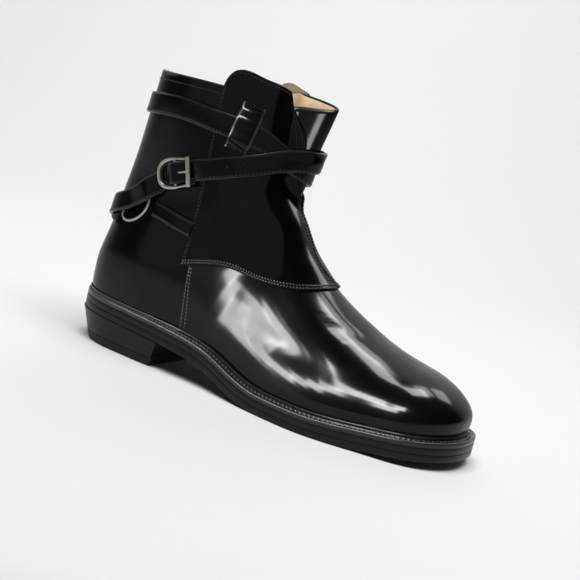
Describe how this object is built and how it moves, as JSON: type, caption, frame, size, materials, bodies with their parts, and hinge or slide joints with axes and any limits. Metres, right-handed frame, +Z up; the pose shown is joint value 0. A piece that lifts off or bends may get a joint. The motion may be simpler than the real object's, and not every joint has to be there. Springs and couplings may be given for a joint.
{
  "type": "harness boot",
  "caption": "Ankle boot in black polished leather with a stacked heel, welted sole and a long wrap strap with a side buckle; hollow upper, right foot.",
  "frame": {"origin": "on the floor, under the middle of the boot's bounding box", "axes": "+X towards the toe, +Y towards the inner side of the foot, +Z up"},
  "size_m": [0.2984, 0.1118, 0.2095],
  "materials": {
    "upper": "black box calf, brushed to a high gloss",
    "strap": "black bridle leather, polished, edges painted",
    "welt": "black edge paint, satin",
    "sole": "stacked leather, black edge paint, satin",
    "lift": "black rubber, fine matt",
    "lining": "tan vegetable leather, dull",
    "metal": "warm nickel plate, polished with light scuffs"
  },
  "bodies": {
    "root": {"outsole": "sole", "midsole": "sole", "welt": "welt", "heel_block": "sole", "top_lift": "lift", "insole": "lining", "upper": "upper", "front_flap": "upper", "inner_panel": "upper", "strap": "strap", "keeper_loop": "strap", "buckle_frame": "metal", "buckle_prong": "metal", "side_ring": "metal", "ring_tab": "strap", "ring_tab_back": "strap"}
  },
  "joints": []
}
